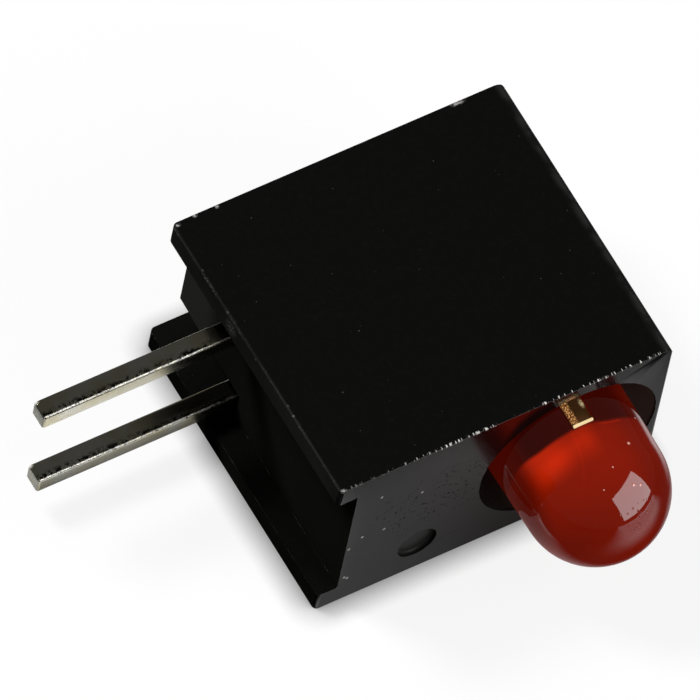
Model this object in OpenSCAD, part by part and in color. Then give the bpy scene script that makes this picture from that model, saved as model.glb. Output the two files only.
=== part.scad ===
// Right-angle board indicator: a 3 mm tinted LED seated in the bore of a black
// moulded housing, with its two leads bent down behind it towards the board.
// All lengths are in millimetres. The board face of the housing is the plane
// X = 0, with the housing on its +X side and the lead ends on its -X side.
// Y runs from the front face to the back, and Z across the width, midway at 0.

/* [Housing] */
// Wall on each side of the LED's bore
side_wall = 0.28; // [0.2:0.02:0.6]
// Wall above the bore where it is thinnest
top_wall = 0.14; // [0.08:0.02:0.6]
// Front face to back face
housing_depth = 6.6; // [6.2:0.1:8]
// Board face up to the LED's axis
led_height = 5.33; // [4.8:0.01:7]
// Radius of the corners that run across the width
corner_r = 0.1; // [0.06:0.01:0.2]
// Radius of the same corner at the back of the two foot walls
heel_r = 0.25; // [0.06:0.01:0.4]
// Radius of the two long edges furthest from the board
top_edge_r = 0.3; // [0.06:0.01:0.4]
// Front face to the middle of the leads at the board face
lead_setback = 4.46; // [4.2:0.02:5]
// Thickness of the two walls that stand on the board
foot_wall = 0.52; // [0.3:0.01:0.6]
// Gap between the board and the housing at the front face
gap_front = 0.45; // [0.3:0.01:0.8]
// Gap between the board and the housing at the back face
gap_back = 0.6; // [0.3:0.01:0.9]

/* [Ejector mark] */
// Diameter of the round mark in the front face
mark_d = 0.86; // [0.5:0.02:1.2]
// Depth of the mark
mark_depth = 0.12; // [0.05:0.01:0.3]
// Board face up to the middle of the mark
mark_height = 2.16; // [1.5:0.02:2.6]
// Lower side of the housing to the middle of the mark
mark_inset = 0.95; // [0.7:0.05:2]

/* [Lens] */
// Diameter of the lens where it leaves its flange
lens_d = 3.04; // [3:0.01:3.2]
// Diameter of the lens at its dome
dome_d = 2.95; // [2.92:0.01:3.2]
// Back of the flange to the tip of the dome
body_length = 5.3; // [5.2:0.05:5.6]
// How far the dome's tip stands out of the front face
lens_reach = 2.54; // [2:0.02:3]
// Diameter of the flange
flange_d = 3.8; // [3.7:0.05:4.4]
// Thickness of the flange
flange_t = 1; // [0.6:0.05:1.4]
// Lens axis to the flat on the flange, on the cathode side
flange_flat = 1.66; // [1.62:0.02:1.8]

/* [Leads] */
// Distance between the middles of the two leads
lead_pitch = 2.54; // [2.5:0.01:2.6]
// Thickness of the sheet that the leads are stamped from
lead_t = 0.42; // [0.35:0.01:0.5]
// Stamped width of a lead
lead_w = 0.42; // [0.3:0.01:0.5]
// Radius of a lead's long edges
lead_edge = 0.06; // [0.03:0.01:0.1]
// Inside radius of the bend behind the LED
bend_r = 0.45; // [0.3:0.05:0.7]
// Board face to the end of the anode lead
anode_reach = 4.02; // [2.5:0.02:12]
// Board face to the end of the cathode lead
cathode_reach = 3.84; // [2.5:0.02:12]

/* [Lead frame] */
// Back of the flange to the top of the anode post
post_top = 3.06; // [2.96:0.02:3.3]
// Back of the flange to the rim of the reflector cup
cup_rim = 2.92; // [2.6:0.02:3]
// Lens axis to the outer edge of the posts inside the lens
post_edge = 1.38; // [1.3:0.01:1.39]
// Width of a post inside the lens
post_w = 0.36; // [0.3:0.02:0.4]
// Length of the anode's bonding pad, along the post
pad_length = 0.34; // [0.2:0.02:0.5]
// Width of the anode's bonding pad
pad_w = 0.54; // [0.46:0.02:0.6]
// Width of the neck of each post inside the flange
neck_w = 0.28; // [0.2:0.02:0.3]
// Height of a post's full-width root inside the flange
root_h = 0.1; // [0.04:0.02:0.2]
// Back of the flange to the top of the neck
neck_top = 0.6; // [0.5:0.02:0.7]
// Height over which a post widens above its neck
shoulder_h = 0.2; // [0.1:0.02:0.3]
// Height of the wedge that carries the cup
anvil_h = 0.9; // [0.6:0.05:1.1]
// How far the wedge runs past the lens axis
anvil_past = 0.5; // [0.3:0.02:0.56]

/* [Reflector cup] */
// Outer diameter of the cup
cup_d = 1.16; // [1.1:0.02:1.24]
// Length of the cup's wall below its rim
cup_h = 0.58; // [0.5:0.02:0.8]
// Inner diameter at the rim
cup_mouth = 0.96; // [0.8:0.02:1]
// Inner diameter at the floor
cup_floor = 0.5; // [0.46:0.02:0.6]
// Depth of the cup
cup_depth = 0.35; // [0.3:0.01:0.4]

/* [Chip and bond wire] */
// Side of the square chip
chip_w = 0.26; // [0.2:0.02:0.3]
// Height of the chip
chip_h = 0.2; // [0.1:0.02:0.3]
// Diameter of the glue spot under the chip
glue_d = 0.42; // [0.4:0.01:0.44]
// Thickness of the glue spot
glue_t = 0.04; // [0.02:0.01:0.08]
// Diameter of the bond wire
wire_d = 0.04; // [0.03:0.01:0.06]
// Radius of the wire's two bends
wire_bend = 0.2; // [0.1:0.02:0.3]
// Height of the wire's loop above the anode post
wire_rise = 0.26; // [0.2:0.02:0.4]
// Diameter of the ball that holds the wire on the chip
ball_d = 0.1; // [0.08:0.01:0.14]
// Height of that ball
ball_h = 0.05; // [0.03:0.01:0.08]

/* [Fits] */
// Play around the flange in its bore
bore_clearance = 0.05; // [0.02:0.01:0.1]
// Play around each lead in the housing
lead_clearance = 0.08; // [0.04:0.01:0.1]

/* [Hidden] */
$fn = 64;

// Cutting tools run this far past the faces that they open
over = 0.5;

// Housing, from the bore that holds the LED
bore_d = flange_d + 2 * bore_clearance;
housing_w = bore_d + 2 * side_wall;
housing_h = led_height + bore_d / 2 + top_wall;
front_y = -lead_setback;
back_y = front_y + housing_depth;
seat_y = front_y + body_length - lens_reach;
foot_in = housing_w / 2 - foot_wall;
tongue_w = lead_pitch - lead_w - 2 * lead_clearance;
slot_front = -lead_t / 2 - lead_clearance;
slot_top = led_height + lead_t / 2 + lead_clearance;

// Radius of the bend along the middle of the sheet
bend_path_r = bend_r + lead_t / 2;

// Lead frame, in the LED's own height above the back of its flange
lead_edge_in = lead_pitch / 2 - lead_w / 2;
lead_edge_out = lead_pitch / 2 + lead_w / 2;
neck_out = lead_pitch / 2 + neck_w / 2;
neck_in = lead_pitch / 2 - neck_w / 2;
neck_base = (root_h + neck_top) / 2;
post_base = neck_top + shoulder_h;
cup_base = cup_rim - cup_h;
pad_in = post_edge - pad_w;
wire_land = pad_in + pad_w / 3;
wire_top = post_top + wire_rise;
cup_floor_z = cup_rim - cup_depth;
chip_z = cup_floor_z + glue_t;
chip_top = chip_z + chip_h;

// Rectangle from one corner to the other with round corners
module round_rectangle(low, high, r) {
    translate([low[0] + r, low[1]])
        square([high[0] - low[0] - 2 * r, high[1] - low[1]]);
    translate([low[0], low[1] + r])
        square([high[0] - low[0], high[1] - low[1] - 2 * r]);
    for (x = [low[0] + r, high[0] - r], y = [low[1] + r, high[1] - r])
        translate([x, y]) circle(r);
}

// Cross-section of a lead: its sheet thickness along x, its width along y
module lead_section(grow) {
    half = [lead_t / 2 + grow, lead_w / 2 + grow];
    if (grow > 0)
        square(2 * half, center = true);
    else
        round_rectangle(-half, half, lead_edge);
}

// One lead's run: out of the LED, round the bend and down past the board.
// It starts lead_in before the flange's seat and is grow larger all round.
module lead_run(reach, grow = 0, lead_in = 0) {
    leg = led_height + reach - bend_path_r;
    translate([led_height, -bend_path_r, 0])
        rotate([90, 0, 0])
            linear_extrude(lead_in - seat_y - bend_path_r) lead_section(grow);
    translate([led_height - bend_path_r, -bend_path_r, 0]) {
        rotate_extrude(angle = 90)
            translate([bend_path_r, 0]) lead_section(grow);
        rotate([0, 0, 90])
            translate([bend_path_r, 0, 0])
                rotate([-90, 0, 0])
                    linear_extrude(leg) lead_section(grow);
    }
}

// Puts the LED's own upright frame into its bore: its height runs to -Y and
// its anode side to +Z
module in_bore() {
    translate([led_height, seat_y, 0]) rotate([90, 0, 0]) children();
}

// A flat stamping in the plane of both leads, as thick as their sheet
module stamping() {
    rotate([90, 0, 90])
        linear_extrude(lead_t, center = true) children();
}

// A rod of the bond wire's thickness between two heights, at y
module wire_rod(y, low, high) {
    translate([0, y, low]) cylinder(h = high - low, d = wire_d);
}

// A quarter turn of the bond wire from angle start, in the plane of the frame
module wire_quarter(y, start) {
    translate([0, y, wire_top - wire_bend])
        rotate([90, 0, 90])
            rotate([0, 0, start])
                rotate_extrude(angle = 90)
                    translate([wire_bend, 0]) circle(d = wire_d);
}

module anode_frame() {
    stamping()
        polygon([[lead_edge_in, 0], [lead_edge_out, 0], [lead_edge_out, root_h],
                 [neck_out, neck_base], [neck_out, neck_top],
                 [post_edge, post_base], [post_edge, post_top],
                 [pad_in, post_top], [pad_in, post_top - pad_length],
                 [post_edge - post_w, post_top - pad_length - (pad_w - post_w)],
                 [post_edge - post_w, post_base],
                 [neck_in, neck_top], [neck_in, neck_base],
                 [lead_edge_in, root_h]]);
}

module cathode_frame() {
    difference() {
        union() {
            stamping()
                polygon([[-lead_edge_in, 0], [-lead_edge_out, 0],
                         [-lead_edge_out, root_h],
                         [-neck_out, neck_base], [-neck_out, neck_top],
                         [-post_edge, post_base],
                         [-post_edge, cup_base - anvil_h / 3],
                         [-cup_d / 2, cup_base], [anvil_past, cup_base],
                         [anvil_past - post_w, cup_base - anvil_h / 2],
                         [post_w - post_edge, cup_base - anvil_h],
                         [post_w - post_edge, post_base],
                         [-neck_in, neck_top], [-neck_in, neck_base],
                         [-lead_edge_in, root_h]]);
            translate([0, 0, cup_base]) cylinder(h = cup_h, d = cup_d);
        }
        translate([0, 0, cup_floor_z])
            cylinder(h = cup_depth, d1 = cup_floor, d2 = cup_mouth);
    }
}

module glue_spot() {
    translate([0, 0, cup_floor_z]) cylinder(h = glue_t, d = glue_d);
}

module chip_block() {
    translate([-chip_w / 2, -chip_w / 2, chip_z]) cube([chip_w, chip_w, chip_h]);
}

module wire_loop() {
    translate([0, 0, chip_top]) cylinder(h = ball_h, d = ball_d);
    wire_rod(0, chip_top, wire_top - wire_bend);
    wire_quarter(wire_bend, 90);
    translate([0, wire_bend, wire_top])
        rotate([-90, 0, 0])
            cylinder(h = wire_land - 2 * wire_bend, d = wire_d);
    wire_quarter(wire_land - wire_bend, 0);
    wire_rod(wire_land, post_top, wire_top - wire_bend);
}

// Flange with its flat, tapered barrel and dome, before anything is set in it
module lens_body() {
    dome_z = body_length - dome_d / 2;
    difference() {
        cylinder(h = flange_t, d = flange_d);
        translate([-flange_d, -flange_d - flange_flat, -over])
            cube([2 * flange_d, flange_d, flange_t + 2 * over]);
    }
    cylinder(h = dome_z, d1 = lens_d, d2 = dome_d);
    translate([0, 0, dome_z]) sphere(d = dome_d);
}

// The housing's outer form: its outline from the side, its round heels and its
// outline from the front
module housing_block() {
    intersection() {
        linear_extrude(housing_w + 2 * over, center = true)
            round_rectangle([0, front_y], [housing_h, back_y], corner_r);
        linear_extrude(housing_w + 2 * over, center = true)
            round_rectangle([0, front_y - over], [housing_h + over, back_y], heel_r);
        translate([0, front_y - over, 0])
            rotate([-90, 0, 0])
                linear_extrude(housing_depth + 2 * over)
                    round_rectangle([-over, -housing_w / 2], [housing_h, housing_w / 2],
                                    top_edge_r);
    }
}

module housing() {
    color([0.07, 0.07, 0.07])
        difference() {
            housing_block();
            // Bore for the LED
            translate([led_height, front_y - over, 0])
                rotate([-90, 0, 0])
                    cylinder(h = seat_y - front_y + over, d = bore_d);
            // Gap over the board, between the two foot walls
            translate([0, 0, -foot_in])
                linear_extrude(2 * foot_in)
                    polygon([[-over, front_y - over], [gap_front, front_y - over],
                             [gap_front, front_y], [gap_back, back_y],
                             [gap_back, back_y + over], [-over, back_y + over]]);
            // Passages and open slots for the leads, beside the tongue
            for (side = [-1, 1]) {
                translate([0, 0, side * lead_pitch / 2])
                    lead_run(0, lead_clearance, over);
                translate([0, slot_front, side > 0 ? tongue_w / 2 : -foot_in])
                    cube([slot_top, back_y - slot_front + over,
                          foot_in - tongue_w / 2]);
            }
            // Ejector mark
            translate([mark_height, front_y - over, mark_inset - housing_w / 2])
                rotate([-90, 0, 0])
                    cylinder(h = over + mark_depth, d = mark_d);
        }
}

module lens() {
    color([0.6, 0.08, 0.03, 0.8])
        in_bore()
            difference() {
                lens_body();
                anode_frame();
                cathode_frame();
                glue_spot();
                chip_block();
                wire_loop();
            }
}

module anode_lead() {
    color([0.62, 0.61, 0.56])
        union() {
            translate([0, 0, lead_pitch / 2]) lead_run(anode_reach, 0, root_h / 2);
            in_bore() anode_frame();
        }
}

module cathode_lead() {
    color([0.62, 0.61, 0.56])
        union() {
            translate([0, 0, -lead_pitch / 2]) lead_run(cathode_reach, 0, root_h / 2);
            in_bore() cathode_frame();
        }
}

module led_chip() {
    color([0.75, 0.65, 0.2]) in_bore() chip_block();
}

module die_attach() {
    color([0.8, 0.8, 0.78]) in_bore() glue_spot();
}

module bond_wire() {
    color([0.9, 0.7, 0.25]) in_bore() wire_loop();
}

housing();
lens();
anode_lead();
cathode_lead();
led_chip();
die_attach();
bond_wire();
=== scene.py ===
import math

import bmesh
import bpy
from bpy.props import FloatProperty, FloatVectorProperty, PointerProperty
from mathutils import Euler, Matrix, Vector


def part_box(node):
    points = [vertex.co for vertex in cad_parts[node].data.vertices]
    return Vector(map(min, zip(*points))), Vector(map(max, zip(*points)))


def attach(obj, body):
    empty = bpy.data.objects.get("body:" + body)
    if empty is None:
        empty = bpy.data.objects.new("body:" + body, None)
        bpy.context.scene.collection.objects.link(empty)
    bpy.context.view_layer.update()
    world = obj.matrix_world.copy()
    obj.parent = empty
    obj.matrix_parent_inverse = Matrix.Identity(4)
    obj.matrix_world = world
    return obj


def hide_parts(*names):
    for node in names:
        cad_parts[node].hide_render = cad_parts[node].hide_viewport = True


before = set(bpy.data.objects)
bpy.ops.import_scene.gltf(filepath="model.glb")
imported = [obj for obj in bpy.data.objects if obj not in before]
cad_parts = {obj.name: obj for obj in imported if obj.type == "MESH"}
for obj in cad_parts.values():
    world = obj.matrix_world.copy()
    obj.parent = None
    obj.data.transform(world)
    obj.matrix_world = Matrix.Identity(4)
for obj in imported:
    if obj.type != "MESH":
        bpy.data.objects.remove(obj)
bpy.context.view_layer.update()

bl_info = {
    "name": "Right-angle LED indicator",
    "version": (1, 0, 0),
    "blender": (4, 5, 0),
    "location": "3D View > Sidebar > Indicator",
    "description": "Dresses a red LED in its black right-angle housing",
    "category": "Object",
}

MM = 0.001
# Corners closer together than this are one, in metres.
MERGE = 1e-7
HOUSING_LOW, HOUSING_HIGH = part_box("housing")
LENS_LOW, LENS_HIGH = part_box("lens")
# The lens's axis, in metres.
AXIS_X = (LENS_LOW.x + LENS_HIGH.x) / 2
AXIS_Z = (HOUSING_LOW.z + HOUSING_HIGH.z) / 2
# Planes of the housing, and of the flange's back in the bore, in millimetres as the materials use them.
FRONT = HOUSING_LOW.y / MM
TOP = HOUSING_HIGH.z / MM
FAR = HOUSING_HIGH.x / MM
FLOOR = HOUSING_LOW.z / MM
BORE_END = LENS_HIGH.y / MM
# The least angle, in degrees, of an edge that gets a rounding.
SHARP = 35.0
# The angle, in degrees, under which two faces of a solid are one flat face.
FLAT = 0.5
# How much more a large face counts than a small one in the smoothed normals.
NORMAL_WEIGHT = 90
DOME_STEPS = 28
ROUND_STEPS = 128


def length(name, description, value):
    """A size in millimetres, kept in metres."""
    return FloatProperty(name=name, description=description, default=value * MM, unit="LENGTH",
                         precision=5)


def share(name, description, value):
    return FloatProperty(name=name, description=description, default=value, min=0.0, max=1.0,
                         subtype="FACTOR")


def colour(name, description, value):
    return FloatVectorProperty(name=name, description=description, default=value, subtype="COLOR",
                               size=3, min=0.0, max=1.0)


class HousingLook(bpy.types.PropertyGroup):
    edge: length("Edge radius", "Rounding of the moulding's sharp edges", 0.03)
    plastic: colour("Plastic", "Black of the moulding", (0.0013, 0.0013, 0.0013))
    dust: colour("Dust", "Colour of the fine specks on it", (0.08, 0.08, 0.077))
    # This colour also paints highlights on the edges and light on the upper foot's end face.
    wear_and_painted_light: colour("Worn", "Colour of its rubbed edges", (0.42, 0.41, 0.39))
    # Painted highlights: bright dots along the top's front edge.
    glint: colour("Glint", "Colour of the bright chips on its front edge", (0.90, 0.88, 0.84))
    heel: length("Heel radius", "Rounding of the feet's corners at the board", 0.12)
    mark: length("Mark radius", "Rounding round the floor of the ejector mark", 0.08)
    gloss: share("Roughness", "Roughness of the moulded faces", 0.13)


class LensLook(bpy.types.PropertyGroup):
    barrel: length("Barrel diameter", "Width of the lens where it leaves the flange", 3.04)
    dome: length("Dome diameter", "Width of the lens at its dome", 2.95)
    flange: length("Flange thickness", "Thickness of the flange", 1.0)
    flat: length("Flat", "From the lens's axis to the flat on its flange", 1.66)
    epoxy: colour("Epoxy", "Red of the tinted epoxy", (1.0, 0.034, 0.002))


class LeadLook(bpy.types.PropertyGroup):
    edge: length("Edge radius", "Rounding of the stamping's edges inside the lens", 0.03)
    end: length("End radius", "Rounding of the two cut ends", 0.055)
    tin: colour("Tin", "Colour of the tin plate", (0.60, 0.58, 0.50))
    stain: colour("Stain", "Browner colour of the tin where it is stained", (0.52, 0.48, 0.33))
    gold: colour("Gold", "Colour of the frame as it shows through the epoxy", (0.62, 0.26, 0.09))
    # The gleam is painted light, given off by the post's top inside the lens.
    gleam: colour("Gleam", "Light that the frame's cut edges throw back inside the epoxy", (0.75, 0.40, 0.13))
    # This colour paints the sheared edges and the burrs bright, as painted highlights.
    burr_and_glint: colour("Burr", "Colour of the bright sheared edges", (0.85, 0.84, 0.80))


class InsideLook(bpy.types.PropertyGroup):
    chip: colour("Chip", "Colour of the light emitting chip", (0.50, 0.40, 0.12))
    glue: colour("Glue", "Colour of the silver filled glue", (0.70, 0.70, 0.68))
    wire: colour("Wire", "Colour of the gold wire", (0.85, 0.60, 0.20))


class StageLook(bpy.types.PropertyGroup):
    floor: colour("Floor", "Colour of the floor", (0.80, 0.80, 0.80))
    contact: length("Contact shadow", "Reach of the soft shadow of what stands on the floor", 0.6)


class Value:
    """A shader socket in an expression: each operator on it adds its Math node."""

    def __init__(self, shade, socket):
        self.shade = shade
        self.socket = socket

    def out(self, name):
        """Another output of the same node."""
        return Value(self.shade, self.socket.node.outputs[name])

    def math(self, operation, *inputs):
        return self.shade.node("ShaderNodeMath", {"operation": operation}, dict(enumerate(inputs)))

    def __add__(self, other):
        return self.math("ADD", self, other)

    def __sub__(self, other):
        return self.math("SUBTRACT", self, other)

    def __rsub__(self, other):
        return self.math("SUBTRACT", other, self)

    def __mul__(self, other):
        return self.math("MULTIPLY", self, other)

    def __pow__(self, other):
        return self.math("POWER", self, other)

    def __abs__(self):
        return self.math("ABSOLUTE", self)

    def __lt__(self, other):
        return self.math("LESS_THAN", self, other)

    __radd__ = __add__
    __rmul__ = __mul__

    def most(self, other):
        return self.math("MAXIMUM", self, other)


class Tree:
    """A node tree in the making. All its nodes come from one method."""

    def __init__(self, owner):
        owner.use_nodes = True
        self.tree = owner.node_tree
        self.tree.nodes.clear()

    def node(self, kind, settings=None, inputs=None, output=0):
        """Adds a node: its settings first, then the values or links of its sockets."""
        made = self.tree.nodes.new(kind)
        for key, value in (settings or {}).items():
            setattr(made, key, value)
        for key, value in (inputs or {}).items():
            if isinstance(value, Value):
                self.tree.links.new(value.socket, made.inputs[key])
            else:
                made.inputs[key].default_value = value
        return Value(self, made.outputs[output]) if made.outputs else None


class Shade(Tree):
    """One material in the making, with its place and normal in the object's own axes."""

    def __init__(self, name):
        self.material = bpy.data.materials.new(name)
        super().__init__(self.material)
        self.place = self.node("ShaderNodeTexCoord", output="Object")
        self.x, self.y, self.z = self.axes(self.vector("SCALE", {0: self.place, "Scale": 1 / MM}))

    def vector(self, operation, inputs):
        return self.node("ShaderNodeVectorMath", {"operation": operation}, inputs)

    def axes(self, vector):
        split = self.node("ShaderNodeSeparateXYZ", None, {0: vector})
        return [split.out(letter) for letter in "XYZ"]

    def facing(self, letter):
        """How far the surface faces along an axis of the object."""
        normal = self.node("ShaderNodeTexCoord", output="Normal")
        return self.axes(normal)["XYZ".index(letter)]

    def noise(self, size, detail=2.0, rough=0.5, stretch=None):
        """Noise from 0 to 1 whose features are size millimetres wide."""
        place = self.place
        if stretch:
            place = self.node("ShaderNodeMapping", None, {"Vector": place, "Scale": stretch})
        return self.node("ShaderNodeTexNoise", None,
                         {"Vector": place, "Scale": 1 / (size * MM),
                          "Detail": detail, "Roughness": rough})

    def fade(self, value, start, end, low=0.0, high=1.0):
        """low at start, high at end, and smooth between them."""
        return self.node("ShaderNodeMapRange", {"interpolation_type": "SMOOTHSTEP"},
                         {"Value": value, "From Min": start, "From Max": end,
                          "To Min": low, "To Max": high})

    def specks(self, spacing, radius, part):
        """Round specks of a radius, in a part of the cells of a random grid."""
        cell = self.node("ShaderNodeTexVoronoi", None,
                         {"Vector": self.place, "Scale": 1 / (spacing * MM)}, "Distance")
        chance = self.axes(cell.out("Color"))[0]
        return self.fade(cell, radius / spacing, 0.4 * radius / spacing) * (chance < part)

    def near(self, centre, reach):
        """1 at a point of the object, 0 beyond its reach along X, Y and Z, in millimetres."""
        away = self.vector("SUBTRACT", {0: self.place, 1: Vector(centre) * MM})
        away = self.vector("DIVIDE", {0: away, 1: Vector(reach) * MM})
        return self.fade(self.vector("LENGTH", {0: away}).out("Value"), 1.0, 0.0)

    def distance(self, first, second):
        """The length of a line with these two sides."""
        return (first ** 2.0 + second ** 2.0) ** 0.5

    def mix(self, factor, first, second):
        return self.node("ShaderNodeMix", {"data_type": "RGBA"}, {0: factor, 6: first, 7: second}, 2)

    def tint(self, colour_value, amount):
        """A colour made brighter or darker."""
        return self.vector("SCALE", {0: tuple(colour_value), "Scale": amount})

    def bump(self, height, distance, strength=1.0):
        return self.node("ShaderNodeBump", None,
                         {"Height": height, "Distance": distance * MM, "Strength": strength})

    def surface(self, inputs):
        return self.node("ShaderNodeBsdfPrincipled", None, inputs)

    def finish(self, surface):
        self.node("ShaderNodeOutputMaterial", None, {"Surface": surface})
        return self.material


def rgba(colour_value):
    return (*colour_value, 1.0)


# Rubbed spots on the top's edges: the centre and how far each reaches, in millimetres.
WORN_SPOTS = (
    ((6.33, 2.10, TOP), (0.20, 0.06, 0.07)),
    ((0.11, 2.07, TOP), (0.07, 0.05, 0.06)),
    ((0.51, 2.12, TOP), (0.07, 0.06, 0.06)),
    ((0.99, 2.11, TOP), (0.06, 0.06, 0.06)),
    ((0.05, FRONT, TOP), (0.12, 0.08, 0.10)),
    ((FAR - 0.03, FRONT, TOP), (0.10, 0.08, 0.10)),
)
# The scraped corner of the upper foot's end.
SCRAPED = ((0.02, -0.25, 1.98), (0.14, 0.30, 0.30))
# Where fine specks gather on the top.
SPECK_CLUSTERS = (
    ((3.26, -2.02, TOP), (0.7, 0.4, 0.3)),
    ((2.23, -1.29, TOP), (0.5, 0.4, 0.3)),
)
# Pale flecks on the front face, along X and Z.
FLECKS = (
    (1.27, -0.08),
    (1.04, 1.29),
    (2.00, 0.77),
    (0.78, -0.03),
    (0.52, -0.30),
    (0.63, -1.47),
    (0.56, -1.40),
)
FLECK_SIZE = (0.05, 0.06, 0.05)
# The finely pitted part of the front face.
PITTED = ((2.4, FRONT, 0.3), (2.1, 0.3, 1.2))
BORE_RADIUS = 1.95
# The ejector mark on the front face.
MARK = (2.16, FRONT, -1.28)
MARK_RADIUS = 0.43
# The radius that the CAD solid has at the feet's corners.
HEEL = 0.25
# The inner faces of the feet, measured from the middle.
FOOT_WALL = 1.69
# The painted sheen inside the bore.
PAINTED_BORE_SHEEN = (0.14, 0.17, 0.15, 1.0)
# A pale dull tone, which also paints light between the feet.
POWDER_AND_LIGHT = (0.10, 0.106, 0.09, 1.0)
PLASTIC_IOR = 1.5
PLASTIC_RELIEF = 0.004


def black_plastic(look):
    """Moulded black nylon: dull on the top and the board side, glossy elsewhere, with rubbed edges.
    Highlights on its edges, light in its bore, its ejector mark and between its feet, and shade in its
    ejector mark are painted.
    """
    shade = Shade("black_plastic")
    x, y, z = shade.x, shade.y, shade.z
    rounding = shade.node("ShaderNodeAttribute", {"attribute_name": "rounding"}, None, "Fac")
    fine = shade.noise(0.04, 3.0, 0.6)
    patchy = shade.noise(0.45, 3.0)
    cloud = shade.noise(1.6, 3.0)

    at_top = shade.fade(z, TOP - 0.16, TOP - 0.03)
    at_front = shade.fade(y, FRONT + 0.10, FRONT + 0.03)
    at_edge = shade.fade(x, 0.07, 0.02) * shade.fade(z, TOP - 0.08, TOP - 0.03)
    # A faint painted highlight on the rounded edges at the front face, and painted highlights as bright dots
    # along the top's front edge, weaker towards the left.
    glint_line = rounding * at_front * 0.10
    along = shade.noise(0.05, 2.0, 0.7, (1.0, 0.15, 0.15))
    glints = shade.fade(y, FRONT + 0.06, FRONT + 0.03) * shade.fade(z, TOP - 0.05, TOP - 0.02)
    glints = glints * shade.fade(along, 0.56, 0.64, 0.0, 0.7) * shade.fade(x, 0.5, 3.0, 0.2, 1.0)
    # A painted highlight along the rounded edge between the top and the board side, broken up by noise and
    # specks.
    ridge_highlight = at_edge * shade.fade(fine * 0.6 + patchy * 0.4, 0.44, 0.66, 0.005, 0.05)
    ridge_highlight = ridge_highlight.most(at_edge * shade.specks(0.16, 0.04, 0.4) * 0.22)
    # A faint lighter band along the top's right edge.
    side_band = shade.fade(x, FAR - 0.32, FAR - 0.12) * at_top * shade.fade(patchy, 0.36, 0.62, 0.004, 0.035)
    rubbed = rounding * shade.fade(fine * 0.6 + patchy * 0.4, 0.52, 0.62) * 0.5
    # This mask holds real wear, rubbed edges, spots, flecks and a scrape, together with painted highlights
    # and painted light.
    wear_and_painted_light = glint_line.most(ridge_highlight).most(side_band).most(rubbed)
    for centre, reach in WORN_SPOTS:
        wear_and_painted_light = wear_and_painted_light.most(shade.near(centre, reach) * shade.fade(fine, 0.36, 0.6))
    for across, up in FLECKS:
        wear_and_painted_light = wear_and_painted_light.most(shade.near((across, FRONT, up), FLECK_SIZE))
    scraped = shade.near(*SCRAPED) * shade.fade(fine, 0.40, 0.62)
    wear_and_painted_light = wear_and_painted_light.most(scraped * 0.22)
    # Painted light on the upper foot's end face, which faces the light.
    lit_foot_end = shade.fade(x, 0.06, 0.02) * shade.fade(z, FOOT_WALL - 0.09, FOOT_WALL + 0.03)
    wear_and_painted_light = wear_and_painted_light.most(lit_foot_end * shade.fade(cloud, 0.3, 0.7, 0.015, 0.03))

    clustered = shade.near(*SPECK_CLUSTERS[0]).most(shade.near(*SPECK_CLUSTERS[1]))
    dust = shade.specks(0.20, 0.013, 0.35) * shade.fade(patchy, 0.40, 0.56)
    dust = dust.most(shade.specks(0.50, 0.019, 0.30))
    dust = dust.most(shade.specks(0.12, 0.013, 0.30) * clustered)
    pits = shade.specks(0.13, 0.034, 0.45).most(shade.specks(0.07, 0.026, 0.45))
    pits = pits * shade.near(*PITTED) ** 0.5

    # The inside of the bore is painted lighter as a painted sheen, stronger towards the right.
    from_bore = shade.distance(x - AXIS_X / MM, z - AXIS_Z / MM)
    in_bore = shade.fade(from_bore, BORE_RADIUS + 0.06, BORE_RADIUS + 0.02)
    in_bore = in_bore * shade.fade(y, FRONT, FRONT + 0.1) * shade.fade(y, BORE_END + 0.05, BORE_END)
    in_bore = in_bore * shade.fade(x, 3.6, 7.2, 0.35, 1.0)
    from_mark = shade.distance(x - MARK[0], z - MARK[2])
    in_mark = shade.fade(from_mark, MARK_RADIUS + 0.02, MARK_RADIUS - 0.02)
    in_mark = in_mark * shade.fade(y, FRONT, FRONT + 0.03) * shade.fade(y, FRONT + 0.5, FRONT + 0.4)

    mottle = shade.fade(shade.noise(0.11, 3.0, 0.6), 0.48, 0.72) * 0.008
    specked = dust * shade.fade(cloud, 0.3, 0.7, 0.4, 1.0)
    base = shade.mix(specked.most(mottle), rgba(look.plastic), rgba(look.dust))
    base = shade.mix(in_bore, base, PAINTED_BORE_SHEEN)
    # The ejector mark's floor is painted a little lighter, as painted light.
    base = shade.mix(in_mark * 0.12, base, rgba(look.dust))
    base = shade.mix(wear_and_painted_light, base, rgba(look.wear_and_painted_light))
    base = shade.mix(glints, base, rgba(look.glint))
    roughness = shade.fade(cloud, 0.3, 0.7, look.gloss - 0.02, look.gloss + 0.04)
    roughness = roughness + wear_and_painted_light * 0.4 + in_bore * 0.25 + in_mark * 0.25
    normal = shade.bump(fine * 0.25 + wear_and_painted_light * 1.5 + scraped * 3.0 - pits * 3.0, PLASTIC_RELIEF)
    glossy = shade.surface({"Base Color": base, "Roughness": roughness, "Normal": normal,
                            "IOR": PLASTIC_IOR})
    # The dull faces get a pale tone; between the feet it grows towards the back as painted light where the
    # upper foot shades them, and it is weaker on the top.
    between_feet = shade.fade(abs(z), FOOT_WALL + 0.03, FOOT_WALL - 0.03)
    matt_top = shade.fade(shade.facing("Z"), 0.9, 0.97)
    powder_and_painted_light = 0.03 + between_feet * shade.fade(y, 0.6, 1.3, 0.03, 0.22) - matt_top * 0.010
    dull_base = shade.mix(powder_and_painted_light, base, POWDER_AND_LIGHT)
    dull = shade.surface({"Base Color": dull_base, "Roughness": 0.6, "Normal": normal, "IOR": PLASTIC_IOR,
                          "Specular IOR Level": 0.0})
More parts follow.
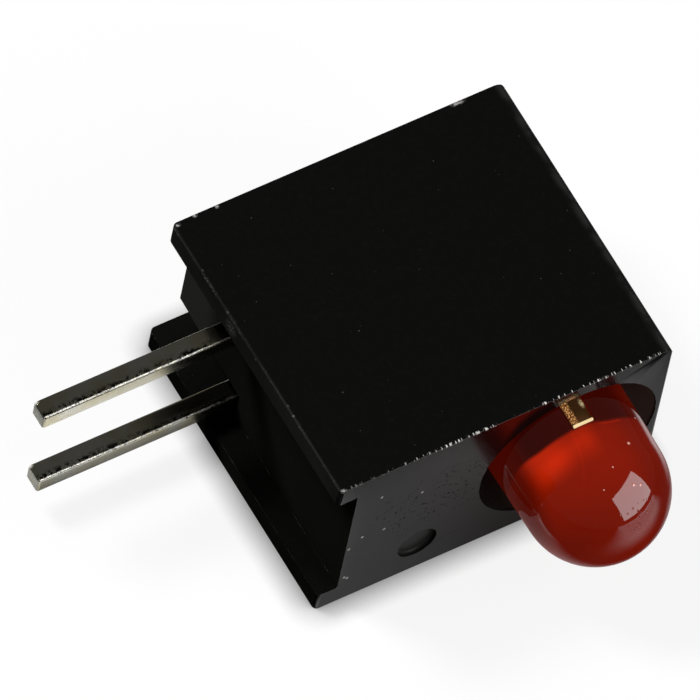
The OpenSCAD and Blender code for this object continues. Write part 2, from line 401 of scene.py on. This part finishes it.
    # Painted shade: the lower right wall of the ejector mark is kept without gloss, so that it stays dark.
    across_mark = x - z - MARK[0] + MARK[2]
    crescent_shade = in_mark * shade.fade(from_mark, 0.29, 0.37) * shade.fade(across_mark, -0.35, 0.10)
    dullness = shade.fade(shade.facing("X"), -0.4, -0.8).most(pits * 0.9).most(crescent_shade * 0.85)
    dullness = dullness.most(matt_top * 0.75)
    return shade.finish(shade.node("ShaderNodeMixShader", None, {0: dullness, 1: glossy, 2: dull}))


# Where the housing's shadow on the lens ends, along Y.
SHADE_EDGE = -4.84
# Bright specks on the lens: centre and radius.
SPARKLES = (
    ((5.89, -5.518, 1.364), 0.045),
    ((5.325, -5.872, 1.434), 0.022),
    ((4.976, -6.17, 1.278), 0.022),
    ((5.574, -6.302, 1.23), 0.045),
    ((5.719, -6.334, 1.171), 0.045),
    ((6.43, -4.915, 0.997), 0.035),
)
# The finely pitted patch in the lens's highlight.
DOME_PITS = ((5.45, -6.73, 0.80), (0.42, 0.42, 0.42))
# The post in the lens that shows through the epoxy: its middle and half its width along X, and its end.
POST_X = 5.285
POST_HALF = 0.245
POST_END = -4.835
LENS_DUST = (0.75, 0.45, 0.40, 1.0)
# Shares of the epoxy's colour that the surface scatters, and that it gives off as a painted glow for the
# light inside it.
SCATTERED = 0.085
INNER_GLOW = 0.11
EPOXY_IOR = 1.54
EPOXY_RELIEF = 0.004


def red_epoxy(look):
    """Tinted epoxy: deep red, with painted shade where it lies inside the housing and towards its sides, and
    a painted glow where light gathers.
    """
    shade = Shade("red_epoxy")
    x, y, z = shade.x, shade.y, shade.z
    depth = shade.noise(0.9, 2.0)

    # Painted shade on the part of the lens inside the housing, lighter towards its left and right ends.
    border = y - SHADE_EDGE + 0.09 * shade.fade(x, 5.3, 5.8) - 0.08 * shade.fade(x, 4.4, 3.95)
    in_bore = shade.fade(border, -0.06, 0.05)
    shaded = 0.22 + 0.22 * shade.fade(x, 4.25, 3.95) + 0.20 * shade.fade(x, 6.1, 6.5)
    # A painted glow where light gathers, on the left of the barrel next to the housing.
    lobe = shade.fade(x, 3.93, 4.27) * shade.fade(x, 4.90, 4.35)
    plateau = shade.fade(x, 3.90, 4.20) * shade.fade(x, 5.50, 5.10)
    glow = (1.6 * lobe + 0.9 * plateau) * shade.fade(y, -5.75, -5.08) ** 1.3 * shade.fade(z, 0.2, 0.9)
    # Painted shade: the lit red is darker towards the lens's left and right sides and towards the dome's tip.
    rim = shade.fade(x, 3.82, 4.10, 0.55, 1.0) * shade.fade(x, 5.5, 6.2, 1.0, 0.8)
    lit = (1.01 + 0.12 * depth) * rim * shade.fade(y, -5.6, -6.7, 1.0, 0.85) + glow
    down = SHADE_EDGE - y
    flow_line = shade.fade(abs(x - 4.985 + 0.26 * down ** 2.0), 0.03, 0.0) * shade.fade(y, -6.05, -5.8)
    # A painted line of light along the edge of the painted shade, to the right of the post.
    border_light = shade.fade(abs(border + 0.04), 0.03, 0.0) * shade.fade(abs(x - 5.8), 0.30, 0.15)
    lit = lit * (1.0 + 0.12 * flow_line + 0.8 * border_light)
    level = lit * (1.0 - in_bore) + shaded * in_bore

    pits = shade.specks(0.07, 0.025, 0.5) * shade.near(*DOME_PITS)
    dust = shade.specks(0.75, 0.022, 0.35)
    for centre, radius in SPARKLES:
        dust = dust.most(shade.near(centre, (radius, radius, radius)))
    grain = shade.noise(0.12, 2.0)
    red = shade.tint(look.epoxy, level)
    base = shade.mix(dust, shade.vector("SCALE", {0: red, "Scale": SCATTERED}), LENS_DUST)
    emission = shade.vector("SCALE", {0: red, "Scale": INNER_GLOW})
    window = shade.fade(abs(x - POST_X), POST_HALF + 0.01, POST_HALF - 0.01)
    window = window * shade.fade(y, POST_END - 0.01, POST_END + 0.01) * shade.fade(z, 1.2, 1.3)
    surface = shade.surface({
        "Base Color": base,
        "Roughness": 0.035 + 0.25 * dust + 0.3 * pits,
        "Normal": shade.bump(grain * 0.12 - pits * 4.0 + dust * 2.0, EPOXY_RELIEF),
        "Emission Color": emission,
        "Emission Strength": 1.0,
        "Alpha": 1.0 - 0.93 * window,
        "IOR": EPOXY_IOR,
    })
    return shade.finish(surface)


# The burrs on the leads' cut ends, painted as bright glints.
BURR_GLINTS = ((-4.0, 0.19, 1.46), (-3.82, 0.19, -1.08))
BURR_SIZE = (0.10, 0.09, 0.09)
# A pale mark on the post's top, which gives off painted light.
PALE_MARK = ((5.50, -4.36, 1.38), (0.07, 0.14, 0.10))
BLOTCH = (0.02, 0.02, 0.018, 1.0)
CUT_TIN = (0.42, 0.43, 0.40, 1.0)
DEEP_GOLD = (0.45, 0.17, 0.06, 1.0)
END_GLEAM = (0.95, 0.76, 0.42, 1.0)
TIN_RELIEF = 0.012


def tinned_metal(look):
    """Tin plate with a rough sheared edge, which shows as gold inside the epoxy."""
    shade = Shade("tinned_metal")
    x, y, z = shade.x, shade.y, shade.z
    in_lens = shade.fade(y, -1.66, -1.76)
    upper = shade.fade(shade.facing("Z"), 0.5, 0.8)
    cut_end = shade.fade(shade.facing("X"), -0.6, -0.85)
    fine = shade.noise(0.03, 3.0, 0.65)
    streaks = shade.noise(0.09, 3.0, 0.6, (0.25, 1.0, 1.0))
    stain = shade.noise(0.7, 3.0)

    band = shade.fade(y + 0.08 * stain, 0.02, -0.10) * upper * (1.0 - in_lens)
    blotch = band * shade.fade(shade.noise(0.08, 2.0, 0.6), 0.48, 0.55)
    # The sheared front edge and the burrs are painted white and not metallic, as painted highlights; the
    # edge's is weaker near the housing.
    sheared = shade.fade(shade.facing("Y"), -0.28, -0.5) * shade.fade(shade.facing("Z"), 0.25, 0.5)
    burr_and_glint = sheared * (1.0 - in_lens) * shade.fade(fine, 0.45, 0.55) * shade.fade(x, 0.3, -0.8, 0.15, 1.0)
    for centre in BURR_GLINTS:
        burr_and_glint = burr_and_glint.most(shade.near(centre, BURR_SIZE))
    tin = shade.mix(shade.fade(stain, 0.35, 0.65), rgba(look.tin), rgba(look.stain))
    tin = shade.mix(blotch, tin, BLOTCH)
    tin = shade.mix(cut_end * 0.7, tin, CUT_TIN)

    # The post's top inside the lens gives off painted light: highlights on its ragged edge and its end line,
    # and a faint glow over the rest.
    post_top = in_lens * shade.fade(z, 1.30, 1.34)
    ragged = post_top * shade.fade(x, 5.27, 5.22)
    end_line = post_top * shade.fade(y, -4.71, -4.73)
    pale_mark = post_top * shade.near(*PALE_MARK) * shade.fade(fine, 0.42, 0.50)
    gleam = (ragged * shade.fade(fine, 0.54, 0.60) * 1.2).most(post_top * 0.03)
    gleam = shade.mix(end_line.most(pale_mark * 0.6), shade.tint(look.gleam, gleam), END_GLEAM)
    gold = shade.mix(fine, rgba(look.gold), DEEP_GOLD)
    tin = shade.mix(burr_and_glint, tin, rgba(look.burr_and_glint))
    return shade.finish(shade.surface({
        "Base Color": shade.mix(in_lens, tin, gold),
        "Metallic": 1.0 - burr_and_glint,
        "Roughness": 0.14 + 0.10 * streaks + 0.20 * blotch + 0.2 * cut_end,
        "Normal": shade.bump(streaks * 0.12 + fine * (0.10 + 0.3 * band + 2.0 * ragged), TIN_RELIEF),
        "Emission Color": gleam,
        "Emission Strength": 1.0,
    }))


SAWN_CHIP = (0.30, 0.22, 0.07, 1.0)
GLUE_FLAKE = (0.45, 0.45, 0.43, 1.0)
DRAWN_WIRE = (0.70, 0.46, 0.13, 1.0)


def chip_material(look):
    shade = Shade("chip")
    sawn = shade.noise(0.02, 3.0, 0.6, (1.0, 0.2, 1.0))
    base = shade.mix(sawn, rgba(look.chip), SAWN_CHIP)
    return shade.finish(shade.surface({"Base Color": base, "Roughness": 0.2 + 0.2 * sawn,
                                       "Normal": shade.bump(sawn, 0.002)}))


def glue_material(look):
    shade = Shade("silver_glue")
    flakes = shade.specks(0.02, 0.008, 0.6)
    base = shade.mix(flakes, rgba(look.glue), GLUE_FLAKE)
    return shade.finish(shade.surface({"Base Color": base, "Roughness": 0.5 - 0.25 * flakes,
                                       "Metallic": 0.6 * flakes, "Normal": shade.bump(flakes, 0.002)}))


def wire_material(look):
    shade = Shade("gold_wire")
    drawn = shade.noise(0.01, 2.0, 0.5, (0.2, 1.0, 1.0))
    base = shade.mix(drawn, rgba(look.wire), DRAWN_WIRE)
    return shade.finish(shade.surface({"Base Color": base, "Metallic": 1.0,
                                       "Roughness": 0.15 + 0.15 * drawn,
                                       "Normal": shade.bump(drawn, 0.001)}))


# The floor where no light falls, as the object's gloss sees it.
UNLIT = (0.03, 0.03, 0.03, 1.0)
# The share of the floor's look that takes no shadow from the lights.
LIFTED = 0.87
GLARE = 0.5


def pale_floor(look):
    """A pale floor. The camera sees painted soft contact shadows on it, and the gloss sees it dark with
    painted pools of light in places.
    """
    shade = Shade("pale_floor")
    x, y = shade.x, shade.y
    cloud = shade.noise(4.0, 2.0)
    # The gloss sees the floor dark, with painted pools of light where the object's reflections need them: a
    # wedge and a patch right of the lens, a strip in front, and places by the leads and behind.
    right, ahead = x - 5.3, -5.5 - y
    wedge = shade.fade(right, -2.0, 2.0) * shade.fade(ahead, 2.5, 6.0)
    wedge = wedge * shade.fade(1.73 * ahead - right, -3.0, 3.0)
    rim = shade.near((10.3, -3.4, FLOOR), (3.6, 3.0, 1.0))
    slant = x + 0.857 * (y - FRONT)
    strip = 0.82 * shade.fade(y, -7.2, -6.2) * shade.fade(y, -3.2, -4.2)
    strip = strip * shade.fade(slant, -0.5, 0.0) * shade.fade(x, 9.8, 8.4)
    under_leads = shade.near((-1.5, -1.7, FLOOR), (7.0, 1.6, 1.0)) ** 0.5
    by_tips = 0.8 * shade.near((-5.0, 1.2, FLOOR), (2.5, 3.0, 1.0)) ** 0.5
    behind = shade.near((5.0, 6.5, FLOOR), (7.0, 5.5, 1.0)) ** 0.5
    lit = wedge.most(rim).most(strip).most(under_leads).most(by_tips).most(behind)
    pale = shade.mix(cloud, rgba(look.floor), rgba(0.97 * part for part in look.floor))
    matt = shade.node("ShaderNodeBsdfDiffuse", None, {"Color": shade.mix(lit, UNLIT, pale)})
    # A painted glow of the floor under the leads.
    glare = shade.node("ShaderNodeEmission", None, {"Strength": GLARE * under_leads ** 2.0})
    matt = shade.node("ShaderNodeAddShader", None, {0: matt, 1: glare})
    # The camera sees a painted contact shadow: the floor glows less where ambient occlusion finds the object
    # close.
    contact = shade.node("ShaderNodeAmbientOcclusion", {"samples": 12}, {"Distance": look.contact},
                         "AO")
    lift = shade.node("ShaderNodeEmission", None, {"Strength": contact ** 1.6})
    plain = shade.node("ShaderNodeBsdfDiffuse", None, {"Color": pale})
    shown = shade.node("ShaderNodeMixShader", None, {0: LIFTED, 1: plain, 2: lift})
    seen = shade.node("ShaderNodeLightPath", output="Is Camera Ray")
    return shade.finish(shade.node("ShaderNodeMixShader", None, {0: seen, 1: matt, 2: shown}))


def add_piece(name, bm, material, slot, *nodes):
    """Makes a piece of a bmesh, puts it under the root body and hides the CAD nodes that it stands for. Its
    slot is not used.
    """
    mesh = bpy.data.meshes.new(name)
    for face in bm.faces:
        face.smooth = True
    bm.to_mesh(mesh)
    bm.free()
    mesh.materials.append(material)
    piece = bpy.data.objects.new(name, mesh)
    bpy.context.scene.collection.objects.link(piece)
    weighted = piece.modifiers.new("weighted_normals", "WEIGHTED_NORMAL")
    weighted.keep_sharp = True
    weighted.weight = NORMAL_WEIGHT
    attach(piece, "root")
    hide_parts(*nodes)
    return piece


def round_edges(bm, edges, radius, segments=3, rubbed=1.0):
    """Rounds edges and gives the new faces the attribute rounding, which says how rubbed they are."""
    marked = bm.loops.layers.float.get("rounding") or bm.loops.layers.float.new("rounding")
    made = bmesh.ops.bevel(bm, geom=edges, affect="EDGES", offset=radius, segments=segments,
                           profile=0.5, material=-1, clamp_overlap=True)
    for face in made["faces"]:
        for corner in face.loops:
            corner[marked] = rubbed


def copy_solid(node):
    """A CAD node's mesh, merged, with its flat faces whole again."""
    bm = bmesh.new()
    bm.from_mesh(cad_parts[node].data)
    bmesh.ops.remove_doubles(bm, verts=bm.verts, dist=MERGE)
    bmesh.ops.dissolve_limit(bm, angle_limit=math.radians(FLAT), verts=bm.verts, edges=bm.edges)
    return bm


def sharp_edges(bm):
    return [edge for edge in bm.edges
            if edge.is_manifold and edge.calc_face_angle() > math.radians(SHARP)]


def turn_heels(bm, radius):
    """Gives the feet's corners at the board and the back a radius of their own."""
    centre = Vector((HOUSING_LOW.x + HEEL * MM, HOUSING_HIGH.y - HEEL * MM, 0))
    corner = Vector((HOUSING_LOW.x + radius, HOUSING_HIGH.y - radius, 0))
    for vert in bm.verts:
        away = Vector((vert.co.x - centre.x, vert.co.y - centre.y, 0))
        if away.x < MERGE and away.y > -MERGE:
            vert.co = corner + away.normalized() * radius + Vector((0, 0, vert.co.z))


def round_end(bm, radius, steps=5):
    """Rounds a lead's cut end: it is moved in, then grows back in rings that get smaller."""
    end = min(vert.co.x for vert in bm.verts)
    face = next(face for face in bm.faces if face.calc_center_median().x < end + MERGE)
    bmesh.ops.translate(bm, verts=face.verts, vec=(radius, 0, 0))
    turns = [math.radians(90 * step / steps) for step in range(steps + 1)]
    for before, after in zip(turns, turns[1:]):
        inward = radius * (math.cos(before) - math.cos(after))
        outward = radius * (math.sin(after) - math.sin(before))
        bmesh.ops.inset_individual(bm, faces=[face], thickness=inward, depth=outward,
                                   use_even_offset=True)


class INDICATOR_OT_housing(bpy.types.Operator):
    """Make the moulded housing with its fine rounded edges"""
    bl_idname = "indicator.housing"
    bl_label = "Housing"

    def execute(self, context):
        look = context.scene.indicator_housing
        bm = copy_solid("housing")
        turn_heels(bm, look.heel)
        mark = Vector(MARK) * MM
        floor = [edge for edge in sharp_edges(bm)
                 if all(vert.co.y > mark.y + MERGE and (vert.co - mark).length < 1.1 * MARK_RADIUS * MM
                        for vert in edge.verts)]
        round_edges(bm, floor, look.mark, 5, 0.0)
        round_edges(bm, sharp_edges(bm), look.edge)
        add_piece("moulded_housing", bm, black_plastic(look), "housing_black", "housing")
        return {"FINISHED"}


class INDICATOR_OT_lens(bpy.types.Operator):
    """Make the red lens: a dome, a barrel and a flange with its flat"""
    bl_idname = "indicator.lens"
    bl_label = "Lens"

    def execute(self, context):
        look = context.scene.indicator_lens
        dome_r, barrel_r = look.dome / 2, look.barrel / 2
        flange_r = LENS_HIGH.x - AXIS_X
        tip, back = LENS_LOW.y, LENS_HIGH.y
        shoulder = back - look.flange
        bm = bmesh.new()
        apex = bm.verts.new((AXIS_X, tip, AXIS_Z))
        bmesh.ops.spin(bm, geom=[apex], cent=(AXIS_X, tip + dome_r, AXIS_Z), axis=(0, 0, 1),
                       angle=math.pi / 2, steps=DOME_STEPS)
        bm.verts.ensure_lookup_table()
        last = max(bm.verts, key=lambda vert: vert.co.x)
        for across, along in ((barrel_r, shoulder), (flange_r, shoulder), (flange_r, back), (0.0, back)):
            grown = bmesh.ops.extrude_vert_indiv(bm, verts=[last])
            last = grown["verts"][0]
            last.co = (AXIS_X + across, along, AXIS_Z)
        bmesh.ops.spin(bm, geom=bm.verts[:] + bm.edges[:], cent=(AXIS_X, 0, AXIS_Z), axis=(0, 1, 0),
                       angle=math.tau, steps=ROUND_STEPS, use_merge=True)
        bmesh.ops.remove_doubles(bm, verts=bm.verts, dist=MERGE)
        bmesh.ops.bisect_plane(bm, geom=bm.verts[:] + bm.edges[:] + bm.faces[:],
                               plane_co=(0, 0, AXIS_Z - look.flat), plane_no=(0, 0, 1), clear_inner=True)
        bmesh.ops.holes_fill(bm, edges=[edge for edge in bm.edges if edge.is_boundary])
        bmesh.ops.recalc_face_normals(bm, faces=bm.faces)
        add_piece("tinted_lens", bm, red_epoxy(look), "lens_red", "lens")
        return {"FINISHED"}


class INDICATOR_OT_leads(bpy.types.Operator):
    """Make the two stamped leads with their rounded cut ends"""
    bl_idname = "indicator.leads"
    bl_label = "Leads"

    def execute(self, context):
        look = context.scene.indicator_leads
        metal = tinned_metal(look)
        for node, name in (("anode_lead", "anode_stamping"), ("cathode_lead", "cathode_stamping")):
            bm = copy_solid(node)
            round_end(bm, look.end)
            inner = [edge for edge in sharp_edges(bm)
                     if all(vert.co.x > AXIS_X - MM for vert in edge.verts)]
            round_edges(bm, inner, look.edge)
            add_piece(name, bm, metal, "tinned_lead", node)
        return {"FINISHED"}


class INDICATOR_OT_inside(bpy.types.Operator):
    """Finish the chip, its glue and its wire"""
    bl_idname = "indicator.inside"
    bl_label = "Chip and wire"

    def execute(self, context):
        look = context.scene.indicator_inside
        finishes = {"led_chip": chip_material, "die_attach": glue_material,
                    "bond_wire": wire_material}
        for node, finish in finishes.items():
            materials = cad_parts[node].data.materials
            materials.clear()
            materials.append(finish(look))
        return {"FINISHED"}


# The camera of the photograph: its turn, its lens, the width that it sees and the point that it looks at.
CAMERA_TURN = Euler([math.radians(turn) for turn in (30.66, -6.57, -29.60)])
CAMERA_LENS = 1500.0
FIELD = 13.425 * MM
AIM = Vector((2.610, -0.754, 0.0)) * MM
CLIP = (0.01, 4.0)
# The point that the lights look at. The key light's glare would hide the moulding, so gloss doesn't see it.
LIT = Vector((3.5, -2.76, 0.0)) * MM
KEY = {"direction": (-0.35, 0.50, 0.80), "distance": 0.12, "size": (0.030, 0.030), "radiance": 55}
WINDOW = {"direction": (0.511, -0.730, 0.454), "distance": 0.10, "size": (0.10, 0.08), "radiance": 4.2}
# The light that the object gets from the world. The camera sees the world white.
WORLD_LIGHT = 0.07
WHITE = (1, 1, 1, 1)
FLOOR_HALF = 0.12


def add_light(name, direction, distance, size, radiance):
    """A soft rectangular light that looks at the housing from a direction."""
    data = bpy.data.lights.new(name, "AREA")
    data.shape = "RECTANGLE"
    data.size, data.size_y = size
    data.energy = radiance * math.pi * data.size * data.size_y
    light = bpy.data.objects.new(name, data)
    bpy.context.scene.collection.objects.link(light)
    away = Vector(direction).normalized()
    light.location = LIT + away * distance
    light.rotation_euler = away.to_track_quat("Z", "Y").to_euler()
    return light


def add_camera(scene):
    """The photograph's view: nearly parallel, from above the board side and the front."""
    data = bpy.data.cameras.new("camera")
    data.lens = CAMERA_LENS
    data.clip_start, data.clip_end = CLIP
    camera = bpy.data.objects.new("camera", data)
    scene.collection.objects.link(camera)
    back = CAMERA_TURN.to_matrix() @ Vector((0, 0, 1))
    camera.location = AIM + back * FIELD * data.lens / data.sensor_width
    camera.rotation_euler = CAMERA_TURN
    scene.camera = camera


class INDICATOR_OT_stage(bpy.types.Operator):
    """Set the floor, the soft lights and the camera"""
    bl_idname = "indicator.stage"
    bl_label = "Stage"

    def execute(self, context):
        scene = context.scene
        bm = bmesh.new()
        bmesh.ops.create_grid(bm, x_segments=1, y_segments=1, size=FLOOR_HALF,
                              matrix=Matrix.Translation((0, 0, HOUSING_LOW.z)))
        mesh = bpy.data.meshes.new("floor")
        bm.to_mesh(mesh)
        bm.free()
        mesh.materials.append(pale_floor(scene.indicator_stage))
        floor = bpy.data.objects.new("floor", mesh)
        scene.collection.objects.link(floor)

        world = bpy.data.worlds.new("studio")
        sky = Tree(world)
        seen = sky.node("ShaderNodeLightPath", output="Is Camera Ray")
        bright = sky.node("ShaderNodeMapRange", None, {"Value": seen, "To Min": WORLD_LIGHT})
        shown = sky.node("ShaderNodeBackground", None, {"Color": WHITE, "Strength": bright})
        sky.node("ShaderNodeOutputWorld", None, {"Surface": shown})
        scene.world = world

        key = add_light("key", **KEY)
        key.visible_glossy = False
        add_light("front", **WINDOW)
        add_camera(scene)
        scene.view_settings.view_transform = "Standard"
        return {"FINISHED"}


OPERATORS = (INDICATOR_OT_housing, INDICATOR_OT_lens, INDICATOR_OT_leads, INDICATOR_OT_inside,
             INDICATOR_OT_stage)
GROUPS = {"indicator_housing": HousingLook, "indicator_lens": LensLook, "indicator_leads": LeadLook,
          "indicator_inside": InsideLook, "indicator_stage": StageLook}


class INDICATOR_PT_panel(bpy.types.Panel):
    """The indicator's operators, in the order in which they run"""
    bl_label = "LED indicator"
    bl_idname = "INDICATOR_PT_panel"
    bl_space_type = "VIEW_3D"
    bl_region_type = "UI"
    bl_category = "Indicator"

    def draw(self, context):
        for operator in OPERATORS:
            self.layout.operator(operator.bl_idname)


CLASSES = (*GROUPS.values(), *OPERATORS, INDICATOR_PT_panel)


def register():
    for made in CLASSES:
        bpy.utils.register_class(made)
    for name, group in GROUPS.items():
        setattr(bpy.types.Scene, name, PointerProperty(type=group))


def unregister():
    for name in GROUPS:
        delattr(bpy.types.Scene, name)
    for made in reversed(CLASSES):
        bpy.utils.unregister_class(made)


def main():
    register()
    for operator in OPERATORS:
        family, name = operator.bl_idname.split(".")
        getattr(getattr(bpy.ops, family), name)()


if __name__ == "__main__":
    main()
